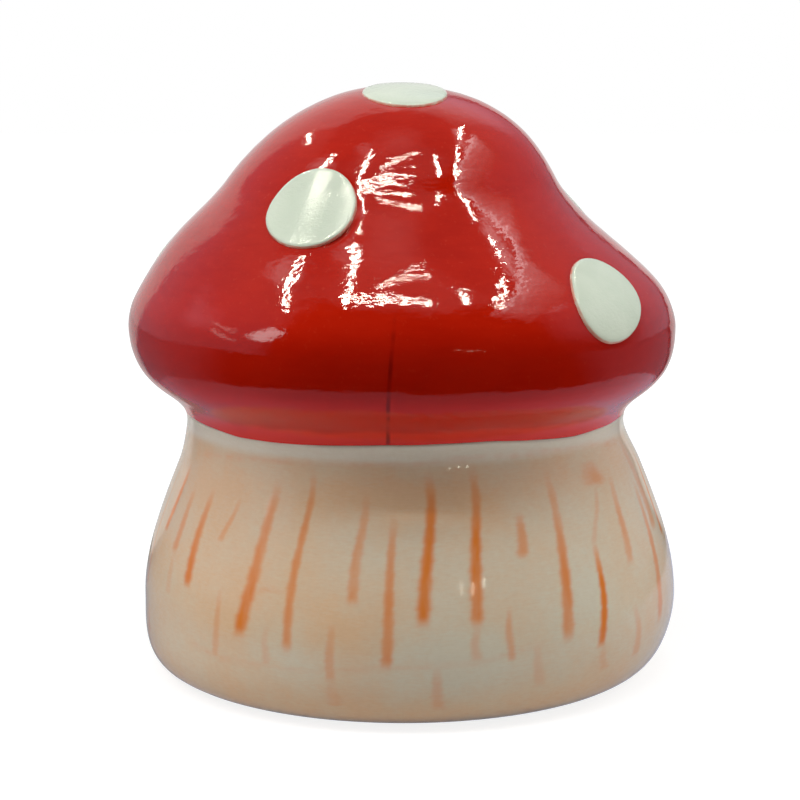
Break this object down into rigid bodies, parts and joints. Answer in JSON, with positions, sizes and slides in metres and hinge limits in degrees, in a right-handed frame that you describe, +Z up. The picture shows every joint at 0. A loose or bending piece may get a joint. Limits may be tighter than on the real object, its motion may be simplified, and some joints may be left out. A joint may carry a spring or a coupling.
{
  "type": "toadstool ornament",
  "caption": "Hollow glazed ceramic toadstool ornament: a domed red cap with raised white spots on a stout cream stalk that stands flat.",
  "frame": {"origin": "on the surface that the ornament stands on, in the middle of its bounding box", "axes": "+Z up, the pictured side faces -Y, +X to its right"},
  "size_m": [0.151, 0.15, 0.1607],
  "materials": {
    "red_glaze": "glossy clear glaze over red",
    "cream_glaze": "glossy clear glaze over cream with brushed orange streaks",
    "white_glaze": "glossy clear glaze over pale mint white"
  },
  "bodies": {
    "root": {"cap_shell": "red_glaze", "stalk_shell": "cream_glaze", "spot_crown": "white_glaze", "spot_front_left": "white_glaze", "spot_front_right": "white_glaze", "spot_right": "white_glaze", "spot_left": "white_glaze", "spot_back_left": "white_glaze", "spot_back_right": "white_glaze", "spot_back": "white_glaze"}
  },
  "joints": []
}
